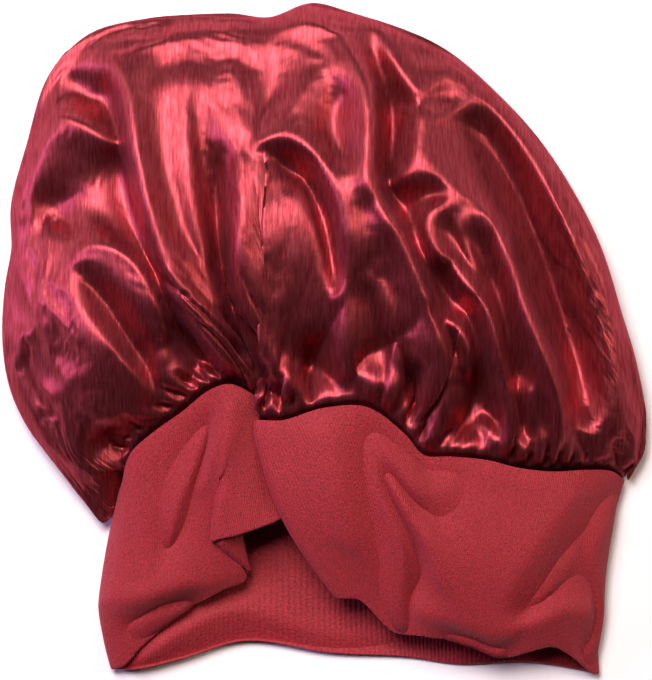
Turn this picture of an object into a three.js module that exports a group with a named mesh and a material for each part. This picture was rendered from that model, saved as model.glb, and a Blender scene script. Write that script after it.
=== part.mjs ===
// Sleep bonnet lying flat on its back: a puffed satin crown gathered to a wide doubled jersey band.
// Millimetres, +Z up, resting on z = 0. +Y runs from the band's hem to the crown's far rim.
import * as THREE from "three";

// Driving dimensions.
const BAND_WIDTH = 250; // across the seam as the band lies
const BAND_HEIGHT = 100; // from the seam to the hem
const BAND_LOFT = 34; // how far the front wall rises over the back wall
const BAND_WALL = 2.4; // two layers of jersey
const CROWN_WIDTH = 322; // widest, rim to rim
const CROWN_LENGTH = 238; // from the seam to the far rim
const CROWN_OFFSET = -24; // the crown's middle from the band's middle, across
const CROWN_LOFT = 46; // the puff over the floor, without its folds
const CROWN_WALL = 1.2; // satin with its gathers pressed together
const RIM_RISE = 7; // how high the rolled rim lies over the floor
const COLLAR = 4; // straight start of the crown at the seam
const SPRING = 40; // how strongly the crown sets off along the band's direction before it fans out
const SEAM_GAP = 0.5; // clearance between the crown's neck and the band

// How finely the cloth is divided.
const COLUMNS = 50; // from one side of the bonnet to the other
const BAND_ROWS = 6;
const CROWN_ROWS = 20;

// The band as it lies, once round from its left side: the front wall to the right, then the back wall.
// Each place gives the seam, the middle and the hem as [across, up, rise], in shares of half the band's
// width, of its height from the seam line, and of its loft over the floor.
const BAND_PLACES = [
  { at: "left side", seam: [-1, -0.03, 0.13], belly: [-1.08, -0.55, 0.13], hem: [-1.05, -0.95, 0.08] },
  { at: "left cheek", seam: [-0.99, 0, 0.34], belly: [-1.03, -0.47, 0.36], hem: [-1.01, -0.93, 0.17] },
  { at: "left shoulder", seam: [-0.96, 0.14, 0.52], belly: [-0.94, -0.4, 0.49], hem: [-0.94, -0.84, 0.2] },
  { at: "left front", seam: [-0.88, 0.24, 0.64], belly: [-0.85, -0.28, 0.55], hem: [-0.84, -0.74, 0.23] },
  { at: "left front", seam: [-0.76, 0.35, 0.72], belly: [-0.75, -0.15, 0.58], hem: [-0.74, -0.64, 0.26] },
  { at: "left front", seam: [-0.66, 0.45, 0.79], belly: [-0.66, -0.05, 0.62], hem: [-0.62, -0.54, 0.27] },
  { at: "hem point", seam: [-0.58, 0.48, 0.79], belly: [-0.61, 0.01, 0.67], hem: [-0.52, -0.48, 0.25] },
  { at: "hem notch", seam: [-0.51, 0.44, 0.73], belly: [-0.57, 0.07, 0.73], hem: [-0.63, -0.3, 0.66] },
  { at: "pocket", seam: [-0.46, 0.38, 0.61], belly: [-0.5, 0.09, 0.7], hem: [-0.54, -0.26, 0.73] },
  { at: "pocket end", seam: [-0.38, 0.31, 0.46], belly: [-0.41, 0.05, 0.55], hem: [-0.42, -0.21, 0.66] },
  { at: "under the fold", seam: [-0.3, 0.28, 0.4], belly: [-0.3, -0.04, 0.43], hem: [-0.3, -0.16, 0.52] },
  { at: "turn of the fold", seam: [-0.25, 0.28, 0.51], belly: [-0.18, -0.12, 0.46], hem: [-0.12, -0.25, 0.4] },
  { at: "back of the fold", seam: [-0.34, 0.28, 0.65], belly: [-0.25, -0.16, 0.58], hem: [-0.09, -0.46, 0.42] },
  { at: "edge of the fold", seam: [-0.46, 0.3, 0.76], belly: [-0.36, -0.14, 0.76], hem: [-0.15, -0.57, 0.52] },
  { at: "right front", seam: [-0.36, 0.3, 0.88], belly: [-0.2, -0.12, 0.88], hem: [-0.06, -0.59, 0.53] },
  { at: "right front", seam: [-0.2, 0.36, 0.97], belly: [-0.05, -0.15, 0.92], hem: [0.08, -0.76, 0.45] },
  { at: "right front", seam: [-0.04, 0.37, 1], belly: [0.08, -0.17, 0.88], hem: [0.2, -0.77, 0.47] },
  { at: "right front", seam: [0.1, 0.25, 0.91], belly: [0.2, -0.28, 0.85], hem: [0.3, -0.8, 0.5] },
  { at: "right front", seam: [0.19, 0.13, 0.82], belly: [0.3, -0.36, 0.85], hem: [0.41, -0.84, 0.48] },
  { at: "right front", seam: [0.31, 0.12, 0.82], belly: [0.42, -0.39, 0.82], hem: [0.51, -0.89, 0.43] },
  { at: "right front", seam: [0.44, 0.1, 0.79], belly: [0.54, -0.4, 0.79], hem: [0.61, -0.85, 0.44] },
  { at: "right front", seam: [0.56, 0.06, 0.73], belly: [0.65, -0.4, 0.73], hem: [0.71, -0.82, 0.43] },
  { at: "right front", seam: [0.7, 0.04, 0.64], belly: [0.74, -0.41, 0.61], hem: [0.77, -0.86, 0.35] },
  { at: "right shoulder", seam: [0.84, 0.05, 0.49], belly: [0.83, -0.44, 0.44], hem: [0.84, -0.93, 0.23] },
  { at: "right cheek", seam: [0.95, 0.04, 0.3], belly: [0.9, -0.47, 0.29], hem: [0.88, -0.97, 0.14] },
  { at: "right side", seam: [1, -0.01, 0.12], belly: [0.93, -0.49, 0.12], hem: [0.9, -0.98, 0.06] },
  { at: "back", seam: [0.9, 0.01, 0], belly: [0.86, -0.47, 0], hem: [0.84, -0.96, 0] },
  { at: "back", seam: [0.66, 0.06, 0], belly: [0.64, -0.44, 0], hem: [0.62, -0.92, 0] },
  { at: "back", seam: [0.34, 0.07, 0], belly: [0.34, -0.43, 0], hem: [0.34, -0.93, 0] },
  { at: "back", seam: [0.1, 0.11, 0], belly: [0.1, -0.38, 0], hem: [0.12, -0.89, 0] },
  { at: "back", seam: [-0.18, 0.12, 0], belly: [-0.18, -0.38, 0], hem: [-0.18, -0.87, 0] },
  { at: "back", seam: [-0.52, 0.09, 0], belly: [-0.52, -0.36, 0], hem: [-0.52, -0.81, 0] },
  { at: "back", seam: [-0.78, 0.02, 0], belly: [-0.78, -0.45, 0], hem: [-0.78, -0.9, 0] },
  { at: "back", seam: [-0.94, -0.03, 0], belly: [-0.96, -0.53, 0], hem: [-0.96, -0.95, 0] },
];
const RIGHT_SIDE_INDEX = BAND_PLACES.findIndex((place) => place.at === "right side");

// The crown's outline from above, from its left end at the seam round to its right end: shares of half
// the crown's width and of its length from the seam line.
const RIM_PLACES = [
  [-0.69, -0.08], [-0.71, -0.09], [-0.77, -0.04], [-0.85, 0.04], [-0.93, 0.12], [-0.98, 0.2],
  [-1, 0.3], [-0.99, 0.41], [-0.97, 0.49], [-0.97, 0.58], [-0.92, 0.71], [-0.85, 0.86],
  [-0.73, 0.94], [-0.55, 0.97], [-0.29, 0.98], [-0.17, 0.97], [-0.04, 1], [0.08, 0.98],
  [0.35, 0.91], [0.54, 0.8], [0.68, 0.69], [0.83, 0.51], [0.91, 0.34], [0.98, 0.18],
  [1, 0.07], [0.95, 0],
];

// Folds of the crown's top sheet. Each runs from start past bend to end, in the outline's shares. Its
// reach to either side is a share of the crown's width and its rise a share of the loft, below 0 for a
// valley. A lap is a step: the cloth on its left lies over the cloth on its right.
const FOLDS = [
  { at: "left long ridge", start: [-0.64, 0.88], bend: [-0.52, 0.48], end: [-0.22, 0.17], reach: 0.063, rise: 0.22 },
  { at: "left long valley", start: [-0.69, 0.87], bend: [-0.58, 0.5], end: [-0.34, 0.2], reach: 0.06, rise: -0.2 },
  { at: "left margin", start: [-0.97, 0.5], bend: [-0.82, 0.36], end: [-0.73, 0.18], reach: 0.07, rise: 0.14 },
  { at: "left facet", start: [-0.82, 0.77], bend: [-0.87, 0.66], end: [-0.92, 0.56], reach: 0.084, rise: 0.12 },
  { at: "top tuck", start: [-0.42, 0.87], bend: [-0.42, 0.6], end: [-0.27, 0.27], reach: 0.06, rise: 0.14 },
  { at: "middle valley", start: [-0.3, 0.68], bend: [-0.38, 0.4], end: [-0.16, 0.16], reach: 0.07, rise: -0.34 },
  { at: "middle ridge", start: [-0.21, 0.7], bend: [-0.32, 0.4], end: [-0.09, 0.17], reach: 0.07, rise: 0.24 },
  { at: "arch", start: [-0.2, 0.7], bend: [0.04, 0.72], end: [0.07, 0.42], reach: 0.063, rise: 0.22 },
  { at: "under the arch", start: [-0.14, 0.65], bend: [0.02, 0.62], end: [0.03, 0.44], reach: 0.06, rise: -0.16 },
  { at: "hollow", start: [-0.06, 0.3], bend: [-0.05, 0.22], end: [-0.03, 0.16], reach: 0.06, rise: -0.22 },
  { at: "right of the hollow", start: [0.06, 0.4], bend: [0.05, 0.24], end: [0.2, 0.13], reach: 0.063, rise: 0.16 },
  { at: "lower left puff", start: [-0.82, 0.12], bend: [-0.74, 0.03], end: [-0.67, -0.03], reach: 0.07, rise: 0.12 },
  { at: "lower left slit", start: [-0.72, 0.13], bend: [-0.66, 0.09], end: [-0.6, 0.05], reach: 0.06, rise: -0.1 },
  { at: "teardrop", start: [-0.66, 0.45], bend: [-0.55, 0.4], end: [-0.48, 0.27], reach: 0.084, rise: 0.12 },
  { at: "pocket", start: [0.24, 0.23], bend: [0.26, 0.17], end: [0.29, 0.11], reach: 0.06, rise: -0.22 },
  { at: "right long ridge", start: [0.31, 0.73], bend: [0.64, 0.42], end: [0.7, 0.03], reach: 0.07, rise: 0.2 },
  { at: "right loop", start: [0.42, 0.57], bend: [0.2, 0.46], end: [0.45, 0.35], reach: 0.06, rise: 0.14 },
  { at: "right inner ridge", start: [0.45, 0.35], bend: [0.54, 0.25], end: [0.6, 0.05], reach: 0.06, rise: 0.16 },
  { at: "right broad valley", start: [0.52, 0.7], bend: [0.78, 0.46], end: [0.8, 0.08], reach: 0.098, rise: -0.3 },
  { at: "right rim ridge", start: [0.47, 0.84], bend: [0.76, 0.6], end: [0.91, 0.1], reach: 0.07, rise: 0.18 },
  { at: "right low valley", start: [0.37, 0.22], bend: [0.42, 0.16], end: [0.46, 0.1], reach: 0.07, rise: -0.2 },
  { at: "lobes' lap", start: [0.4, 0.12], bend: [0.16, 0.6], end: [0, 0.94], reach: 0.09, rise: 0.18, lap: true },
];
const FOLD_STEPS = 24; // points along a fold when a distance to it is measured
const FOLD_SHARE = 0.16; // share of a column over which the folds grow from the seam
const PUFF_SHARE = 0.4; // share over which the puff grows
const DOME_SPREAD = 2.4; // exponents of the puff: a greater spread is fuller towards the rim,
const DOME_EDGE = 0.7; // and a smaller edge is rounder at it
const ROLL_SHARE = 0.75; // share at which the bottom sheet leaves the floor
const RIM_HEIGHT = CROWN_WALL / 2 + RIM_RISE;

// A smooth step from 0 to 1.
const ease = (t) => THREE.MathUtils.smoothstep(t, 0, 1);

// A curve through places given as [x, y, z] in millimetres.
function curveThrough(points, closed) {
  const corners = points.map((p) => new THREE.Vector3(...p));
  return new THREE.CatmullRomCurve3(corners, closed, "centripetal");
}

// A share triple of the band's table as a point of the wall's middle surface.
function bandPlace([across, up, rise]) {
  return [(across * BAND_WIDTH) / 2, up * BAND_HEIGHT, BAND_WALL / 2 + rise * BAND_LOFT];
}

const bandCurves = ["seam", "belly", "hem"].map((station) =>
  curveThrough(BAND_PLACES.map((place) => bandPlace(place[station])), true),
);

// Shares of the way round at which the cloth is divided: as many over the front as over the back.
const ringShares = Array.from({ length: 2 * COLUMNS }, (_, i) => {
  const side = RIGHT_SIDE_INDEX / BAND_PLACES.length;
  return i <= COLUMNS ? (side * i) / COLUMNS : side + ((1 - side) * (i - COLUMNS)) / COLUMNS;
});

// A point of the band's middle surface: a parabola from the seam (down = 0) past the belly to the hem
// (1), that nowhere sinks below the floor.
function bandPoint(share, down) {
  const [seam, belly, hem] = bandCurves.map((curve) => curve.getPoint(share));
  const point = seam
    .multiplyScalar((1 - down) * (1 - 2 * down))
    .addScaledVector(belly, 4 * down * (1 - down))
    .addScaledVector(hem, down * (2 * down - 1));
  point.z = Math.max(point.z, BAND_WALL / 2);
  return point;
}

// A closed ring of columns as a surface: rows of points, and triangles whose front faces out.
function band() {
  const rows = Array.from({ length: BAND_ROWS + 1 }, (_, j) =>
    ringShares.map((share) => bandPoint(share, j / BAND_ROWS)),
  );
  const index = (j, i) => j * ringShares.length + (i % ringShares.length);
  return { points: rows.flat(), triangles: ringTriangles(BAND_ROWS, index).map(([a, b, c]) => [a, c, b]) };
}

// The two triangles of each cell between neighbouring columns and rows.
function ringTriangles(rowCount, index) {
  const triangles = [];
  for (let j = 0; j < rowCount; j++)
    for (let i = 0; i < ringShares.length; i++) {
      const [a, b, c, d] = [index(j, i), index(j, i + 1), index(j + 1, i + 1), index(j + 1, i)];
      triangles.push([a, b, c], [a, c, d]);
    }
  return triangles;
}

// A place in the crown's shares as millimetres.
const crownPlace = ([across, along]) => [CROWN_OFFSET + (across * CROWN_WIDTH) / 2, along * CROWN_LENGTH, 0];

const rim = curveThrough(RIM_PLACES.map(crownPlace), false);
const folds = FOLDS.map((fold) => ({
  ...fold,
  path: new THREE.QuadraticBezierCurve3(
    ...[fold.start, fold.bend, fold.end].map((place) => new THREE.Vector3(...crownPlace(place))),
  ).getPoints(FOLD_STEPS),
}));

// The height that the folds add at x, y: a cosine bell round each path, or a step across a lap.
function foldHeight(x, y) {
  const here = new THREE.Vector3(x, y, 0);
  let height = 0;
  for (const { path, reach, rise, lap } of folds) {
    const distances = path.map((p) => p.distanceTo(here));
    const nearest = distances.indexOf(Math.min(...distances));
    const spread = distances[nearest] / (reach * CROWN_WIDTH);
    if (lap) {
      const from = path[Math.max(nearest - 1, 0)];
      const to = path[Math.min(nearest + 1, FOLD_STEPS)];
      const side = Math.sign((to.x - from.x) * (y - from.y) - (to.y - from.y) * (x - from.x));
      height += rise * CROWN_LOFT * side * Math.tanh(3 * spread) * Math.exp(-spread / 2);
    } else if (spread < 1) {
      height += (rise * CROWN_LOFT * (1 + Math.cos(Math.PI * spread))) / 2;
    }
  }
  return height;
}

// The crown: a collar that carries on from the band, then a top sheet and a bottom sheet that meet
// along the rim. Columns run from the seam to the rim, and the two sheets share the rim's points.
function crown() {
  const neck = ringShares.map((share) => bandPoint(share, 0));
  const ahead = ringShares.map((share, i) => {
    const along = neck[(i + 1) % neck.length].clone().sub(neck.at(i - 1)).normalize();
    const up = neck[i].clone().sub(bandPoint(share, COLLAR / BAND_HEIGHT));
    return up.addScaledVector(along, -up.dot(along)).normalize();
  });
  const rows = [0, COLLAR].map((reach) => neck.map((p, i) => p.clone().addScaledVector(ahead[i], SEAM_GAP + reach)));
  for (let j = 1; j <= CROWN_ROWS; j++) {
    const out = Math.sin((Math.PI / 2) * (j / CROWN_ROWS));
    rows.push(
      rows[1].map((from, i) => {
        const point = from.clone().lerp(rimPoint(i), out);
        point.addScaledVector(ahead[i], SPRING * out * (1 - out) ** 2);
        point.z = i <= COLUMNS ? topHeight(point, from, i / COLUMNS, out) : bottomHeight(from, out);
        return point;
      }),
    );
  }
  const ring = ringShares.length;
  const index = (j, i) => {
    const column = i % ring;
    return j * ring + (j === rows.length - 1 && column > COLUMNS ? ring - column : column);
  };
  return { points: rows.flat().slice(0, -(COLUMNS - 1)), triangles: ringTriangles(rows.length - 1, index) };
}

// Where column i meets the rim.
function rimPoint(i) {
  const across = (i <= COLUMNS ? i : 2 * COLUMNS - i) / COLUMNS;
  const point = rim.getPointAt(across);
  point.z = RIM_HEIGHT;
  return point;
}

// The top sheet's height, out of the way from the seam to the rim: a dome that rounds over at the rim
// and falls off to both ends of the seam, with the folds on it.
function topHeight(point, from, across, out) {
  const lift = (1 - Math.abs(2 * across - 1) ** 5) ** 0.8;
  const flat = THREE.MathUtils.lerp(from.z, RIM_HEIGHT, out);
  const dome = RIM_HEIGHT + CROWN_LOFT * lift * (1 - out ** DOME_SPREAD) ** DOME_EDGE;
  const puffed = THREE.MathUtils.lerp(flat, dome, ease(out / PUFF_SHARE) * lift);
  const folded = lift * ease(out / FOLD_SHARE) * Math.sqrt(1 - out ** 6);
  return Math.max(flat, puffed) + folded * foldHeight(point.x, point.y);
}

// The bottom sheet's height: flat on the floor, then rolled up to the rim.
function bottomHeight(from, out) {
  const roll = Math.max(0, (out - ROLL_SHARE) / (1 - ROLL_SHARE));
  const floor = CROWN_WALL / 2 + RIM_RISE * (1 - Math.sqrt(1 - roll ** 2));
  return THREE.MathUtils.lerp(from.z, floor, ease(out / FOLD_SHARE));
}

// Cloth of the given thickness about a middle surface, closed along every free edge.
function cloth({ points, triangles }, thickness) {
  const middle = new THREE.BufferGeometry().setFromPoints(points).setIndex(triangles.flat());
  middle.computeVertexNormals();
  const normals = middle.getAttribute("normal");
  const outward = points.map((_, i) => new THREE.Vector3().fromBufferAttribute(normals, i));
  const faces = [1, -1].map((side) =>
    points.map((p, i) => p.clone().addScaledVector(outward[i], (side * thickness) / 2)),
  );
  const inner = (i) => i + points.length;
  const edges = triangles.flatMap(([a, b, c]) => [[a, b], [b, c], [c, a]]);
  const known = new Set(edges.map(([a, b]) => `${a} ${b}`));
  const free = edges.filter(([a, b]) => !known.has(`${b} ${a}`));
  const index = [
    ...triangles,
    ...triangles.map(([a, b, c]) => [inner(a), inner(c), inner(b)]),
    ...free.flatMap(([a, b]) => [[b, a, inner(a)], [b, inner(a), inner(b)]]),
  ];
  return new THREE.BufferGeometry().setFromPoints(faces.flat()).setIndex(index.flat());
}

function piece(name, surface, thickness, color, roughness) {
  const mesh = new THREE.Mesh(cloth(surface, thickness));
  mesh.name = name;
  mesh.material = new THREE.MeshStandardMaterial({ color, roughness, metalness: 0 });
  return mesh;
}

const pieces = new THREE.Group();
pieces.add(piece("band", band(), BAND_WALL, 0xb8323f, 0.9));
pieces.add(piece("crown", crown(), CROWN_WALL, 0x9a3a45, 0.4));

// The origin is on the floor under the middle of the whole bonnet.
const box = new THREE.Box3().setFromObject(pieces);
const middle = box.getCenter(new THREE.Vector3());
pieces.position.set(-middle.x, -middle.y, -box.min.z);

const bonnet = new THREE.Group();
bonnet.add(pieces);
export default bonnet;
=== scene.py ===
# %% [markdown]
# # A satin sleep bonnet, lying flat
# The real object is a round of burgundy satin gathered to a wide doubled jersey band. It lies on its
# back wall with the crown puffed up in two lobes. The plan: read the frame, write a few numpy helpers,
# make the crown and the band as surfaces over two parameters, and then give each its cloth.

import bpy
import numpy as np
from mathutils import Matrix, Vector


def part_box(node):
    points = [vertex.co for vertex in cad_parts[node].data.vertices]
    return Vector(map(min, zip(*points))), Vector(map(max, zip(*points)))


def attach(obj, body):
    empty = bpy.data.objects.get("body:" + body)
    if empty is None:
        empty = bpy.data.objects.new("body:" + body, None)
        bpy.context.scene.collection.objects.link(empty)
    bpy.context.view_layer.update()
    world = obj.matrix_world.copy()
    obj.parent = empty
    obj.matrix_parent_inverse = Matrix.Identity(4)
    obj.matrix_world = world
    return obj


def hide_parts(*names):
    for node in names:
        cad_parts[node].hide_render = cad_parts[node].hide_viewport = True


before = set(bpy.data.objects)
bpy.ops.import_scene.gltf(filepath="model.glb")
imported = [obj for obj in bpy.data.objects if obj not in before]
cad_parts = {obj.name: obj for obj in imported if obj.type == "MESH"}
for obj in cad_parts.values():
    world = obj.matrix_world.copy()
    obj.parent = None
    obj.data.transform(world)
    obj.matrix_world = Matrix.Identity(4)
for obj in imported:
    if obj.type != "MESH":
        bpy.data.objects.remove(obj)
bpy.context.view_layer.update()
crown_low, crown_high = (np.array(corner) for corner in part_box("crown"))
MM = 0.001

CROWN_WIDTH = crown_high[0] - crown_low[0]
CROWN_LENGTH = 238 * MM
CROWN_LOFT = 46 * MM
CROWN_WALL = 1.2 * MM
RIM_HEIGHT = 7 * MM + CROWN_WALL / 2
BAND_WIDTH = 250 * MM
BAND_HEIGHT = 100 * MM
BAND_LOFT = 34 * MM
BAND_WALL = 2.4 * MM
CROWN_MIDDLE = (crown_low[0] + crown_high[0]) / 2
SEAM_LINE = crown_high[1] - CROWN_LENGTH
BAND_MIDDLE = CROWN_MIDDLE + 24 * MM

# %% [markdown]
# ## Smooth lines and steps
# Cloth has no straight edges, so every outline and fold is a smooth line through a few given places.
# A Catmull-Rom line passes through each place, and its centripetal form never loops between two
# places that lie close together, as they do in the band's fold.

# %% Lines through places
def ease(t):
    """3t^2 - 2t^3 between 0 and 1: a step that starts and ends level."""
    t = np.clip(t, 0, 1)
    return t * t * (3 - 2 * t)


def smooth_line(places, shares, closed=False):
    """A centripetal Catmull-Rom line: share 0 is its first place and share 1 its last.

    Each span is a cubic whose ends run along the neighbouring spans, weighted by the roots of their lengths.
    """
    places = np.asarray(places, float)
    if closed:
        padded = np.vstack([places[-1:], places, places[:2]])
        spans = len(places)
    else:
        padded = np.vstack([2 * places[0] - places[1], places, 2 * places[-1] - places[-2]])
        spans = len(places) - 1
    at = np.clip(np.asarray(shares), 0, 1) * spans
    first = np.minimum(at.astype(int), spans - 1)
    f = (at - first)[:, None]
    a, b, c, d = (padded[first + k] for k in range(4))
    steps = [np.linalg.norm(q - p, axis=1) for p, q in ((a, b), (b, c), (c, d))]
    gap = [np.maximum(np.sqrt(step), 1e-6)[:, None] for step in steps]
    leave = ((b - a) / gap[0] - (c - a) / (gap[0] + gap[1]) + (c - b) / gap[1]) * gap[1]
    arrive = ((c - b) / gap[1] - (d - b) / (gap[1] + gap[2]) + (d - c) / gap[2]) * gap[1]
    return (b + leave * f + (3 * (c - b) - 2 * leave - arrive) * f**2
            + (2 * (b - c) + leave + arrive) * f**3)


def even_line(places, shares):
    """The same line, with shares measured along its length."""
    fine = smooth_line(places, np.linspace(0, 1, 1500))
    run = np.concatenate([[0], np.cumsum(np.linalg.norm(np.diff(fine, axis=0), axis=1))])
    return np.stack([np.interp(np.asarray(shares) * run[-1], run, column) for column in fine.T], 1)


# %% [markdown]
# ## Meshes from grids
# A grid of points makes a surface: each cell between four neighbours is a face. The object keeps a UV map
# in metres of cloth, which the knit and the shine of the threads follow.

# %% A grid as a mesh
UV_NAME = "cloth"


def cell_corners(index):
    """Each cell's four corners from a grid of point numbers: a point, the next across, and the two below."""
    return np.stack([index[:-1, :-1], index[:-1, 1:], index[1:, 1:], index[1:, :-1]], -1).reshape(-1, 4)


def add_mesh(name, points, faces, flat):
    """A new object at the origin from points in metres, smooth shaded, with flat as its UV map."""
    mesh = bpy.data.meshes.new(name)
    mesh.from_pydata(points.reshape(-1, 3).tolist(), [], faces)
    mesh.shade_smooth()
    corners = np.empty(len(mesh.loops), int)
    mesh.loops.foreach_get("vertex_index", corners)
    mesh.uv_layers.new(name=UV_NAME).data.foreach_set("uv", flat.reshape(-1, 2)[corners].ravel())
    thing = bpy.data.objects.new(name, mesh)
    bpy.context.scene.collection.objects.link(thing)
    print(name, len(mesh.vertices), "vertices", len(mesh.polygons), "faces")
    return thing


# %% [markdown]
# ## The band's wall
# The band is a tube of doubled jersey, lying flat with its front wall raised and folded over itself in a
# Z. Each place round it gives the seam, the middle and the hem, and a parabola joins the three.

# %% The band's places, once round from its left side
BAND_PLACES = [
    # seam: across, up, rise; belly: across, up, rise; hem: across, up, rise
    ("left side", (-1, -0.03, 0.13), (-1.08, -0.55, 0.13), (-1.05, -0.95, 0.08)),
    ("left cheek", (-0.99, 0, 0.34), (-1.03, -0.47, 0.36), (-1.01, -0.93, 0.17)),
    ("left shoulder", (-0.96, 0.14, 0.52), (-0.94, -0.4, 0.49), (-0.94, -0.84, 0.2)),
    ("left front", (-0.88, 0.24, 0.64), (-0.85, -0.28, 0.55), (-0.84, -0.74, 0.23)),
    ("left front", (-0.76, 0.35, 0.72), (-0.75, -0.15, 0.58), (-0.74, -0.64, 0.26)),
    ("left front", (-0.66, 0.45, 0.79), (-0.66, -0.05, 0.62), (-0.62, -0.54, 0.27)),
    ("hem point", (-0.58, 0.48, 0.79), (-0.61, 0.01, 0.67), (-0.52, -0.48, 0.25)),
    ("hem notch", (-0.51, 0.44, 0.73), (-0.57, 0.07, 0.73), (-0.63, -0.3, 0.66)),
    ("pocket", (-0.46, 0.38, 0.61), (-0.5, 0.09, 0.7), (-0.54, -0.26, 0.73)),
    ("pocket end", (-0.38, 0.31, 0.46), (-0.41, 0.05, 0.55), (-0.42, -0.21, 0.66)),
    ("under the fold", (-0.3, 0.28, 0.4), (-0.3, -0.04, 0.43), (-0.3, -0.16, 0.52)),
    ("turn of the fold", (-0.25, 0.28, 0.51), (-0.18, -0.12, 0.46), (-0.12, -0.25, 0.4)),
    ("back of the fold", (-0.34, 0.28, 0.65), (-0.25, -0.16, 0.58), (-0.09, -0.46, 0.42)),
    ("edge of the fold", (-0.46, 0.3, 0.76), (-0.36, -0.14, 0.76), (-0.15, -0.57, 0.52)),
    ("right front", (-0.36, 0.3, 0.88), (-0.2, -0.12, 0.88), (-0.06, -0.59, 0.53)),
    ("right front", (-0.2, 0.36, 0.97), (-0.05, -0.15, 0.92), (0.08, -0.76, 0.45)),
    ("right front", (-0.04, 0.37, 1), (0.08, -0.17, 0.88), (0.2, -0.77, 0.47)),
    ("right front", (0.1, 0.25, 0.91), (0.2, -0.28, 0.85), (0.3, -0.8, 0.5)),
    ("right front", (0.19, 0.13, 0.82), (0.3, -0.36, 0.85), (0.41, -0.84, 0.48)),
    ("right front", (0.31, 0.12, 0.82), (0.42, -0.39, 0.82), (0.51, -0.89, 0.43)),
    ("right front", (0.44, 0.1, 0.79), (0.54, -0.4, 0.79), (0.61, -0.85, 0.44)),
    ("right front", (0.56, 0.06, 0.73), (0.65, -0.4, 0.73), (0.71, -0.82, 0.43)),
    ("right front", (0.7, 0.04, 0.64), (0.74, -0.41, 0.61), (0.77, -0.86, 0.35)),
    ("right shoulder", (0.84, 0.05, 0.49), (0.83, -0.44, 0.44), (0.84, -0.93, 0.23)),
    ("right cheek", (0.95, 0.04, 0.3), (0.9, -0.47, 0.29), (0.88, -0.97, 0.14)),
    ("right side", (1, -0.01, 0.12), (0.93, -0.49, 0.12), (0.9, -0.98, 0.06)),
    ("back", (0.9, 0.01, 0), (0.86, -0.47, 0), (0.84, -0.96, 0)),
    ("back", (0.66, 0.06, 0), (0.64, -0.44, 0), (0.62, -0.92, 0)),
    ("back", (0.34, 0.07, 0), (0.34, -0.43, 0), (0.34, -0.93, 0)),
    ("back", (0.1, 0.11, 0), (0.1, -0.38, 0), (0.12, -0.89, 0)),
    ("back", (-0.18, 0.12, 0), (-0.18, -0.38, 0), (-0.18, -0.87, 0)),
    ("back", (-0.52, 0.09, 0), (-0.52, -0.36, 0), (-0.52, -0.81, 0)),
    ("back", (-0.78, 0.02, 0), (-0.78, -0.45, 0), (-0.78, -0.9, 0)),
    ("back", (-0.94, -0.03, 0), (-0.96, -0.53, 0), (-0.96, -0.95, 0)),
]
RIGHT_SIDE = 25 / len(BAND_PLACES)
BAND_SIZE = np.array([BAND_WIDTH / 2, BAND_HEIGHT, BAND_LOFT])
BAND_ORIGIN = np.array([BAND_MIDDLE, SEAM_LINE, BAND_WALL / 2])


# %% The band's middle surface
def band_surface(around, down):
    """Points at shares round and down the band: seam, belly and hem lines joined by a parabola."""
    seam, belly, hem = (
        smooth_line([BAND_ORIGIN + np.array(place[k]) * BAND_SIZE for place in BAND_PLACES], around, True)
        for k in (1, 2, 3)
    )
    d = np.asarray(down)[:, None, None]
    points = seam * (1 - d) * (1 - 2 * d) + belly * 4 * d * (1 - d) + hem * d * (2 * d - 1)
    points[..., 2] = np.maximum(points[..., 2], BAND_WALL / 2)
    return points


# %% [markdown]
# ## Folds as strings under a sheet
# Cloth stands in narrow ridges with steep flanks and hangs nearly straight between them. That is what a
# sheet does over taut strings: some hold it up, others pull it down. So each fold is a string with a rise
# in millimetres at each of its places, and the sheet settles between them all. Sums of bumps would pile
# up where folds meet. The strung sheet doesn't.

# %% The strung sheet
PULL, TIP = 3, 0.12  # how hard a string grips its cells, and the share at each end over which it lets go
WIDE_DROP, WIDE_SOFTNESS = 0.25, 6  # how much lower, and how much looser, a wide fold is at its sides
CELLS = (4 * MM, 2 * MM, 1 * MM)  # coarse cells first, because they carry a long slope in few passes
PASSES = 300
MARGIN = 10 * MM


def as_strings(table, flatten, rise_scale, fall_scale):
    """Each row's half width and places in metres: flatten places them, the scales stretch their height."""
    strings = []
    for _, half_width, *places in table:
        places = np.array(places, float)
        scale = np.where(places[:, 2] > 0, rise_scale, fall_scale)
        string = np.column_stack([flatten(places[:, :2]), scale * places[:, 2] * MM])
        strings.append((half_width * MM, string))
    return strings


def string_grips(folds, low, cell, shape):
    """How hard each cell is pulled, and to what height: wide folds are several strings side by side."""
    pull, goal = np.zeros(shape), np.zeros(shape)
    share = np.linspace(0, 1, 500)
    grip = PULL * ease(share / TIP) * ease((1 - share) / TIP)
    for half_width, places in folds:
        line = smooth_line(places, share)
        along = np.gradient(line[:, :2], axis=0)
        aside = np.stack([-along[:, 1], along[:, 0]], 1) / np.linalg.norm(along, axis=1, keepdims=True)
        steps = int(2 * half_width / cell)
        for step in sorted(range(-steps, steps + 1), key=abs, reverse=True):
            column, row = ((line[:, :2] + step * cell / 2 * aside - low) / cell).astype(int).T
            inside = (column >= 0) & (column < shape[1]) & (row >= 0) & (row < shape[0])
            aside_share = (step / (steps + 1)) ** 2
            pull[row[inside], column[inside]] = grip[inside] * (1 - aside_share) ** WIDE_SOFTNESS
            goal[row[inside], column[inside]] = line[inside, 2] * (1 - WIDE_DROP * aside_share)
    return pull, goal


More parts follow.
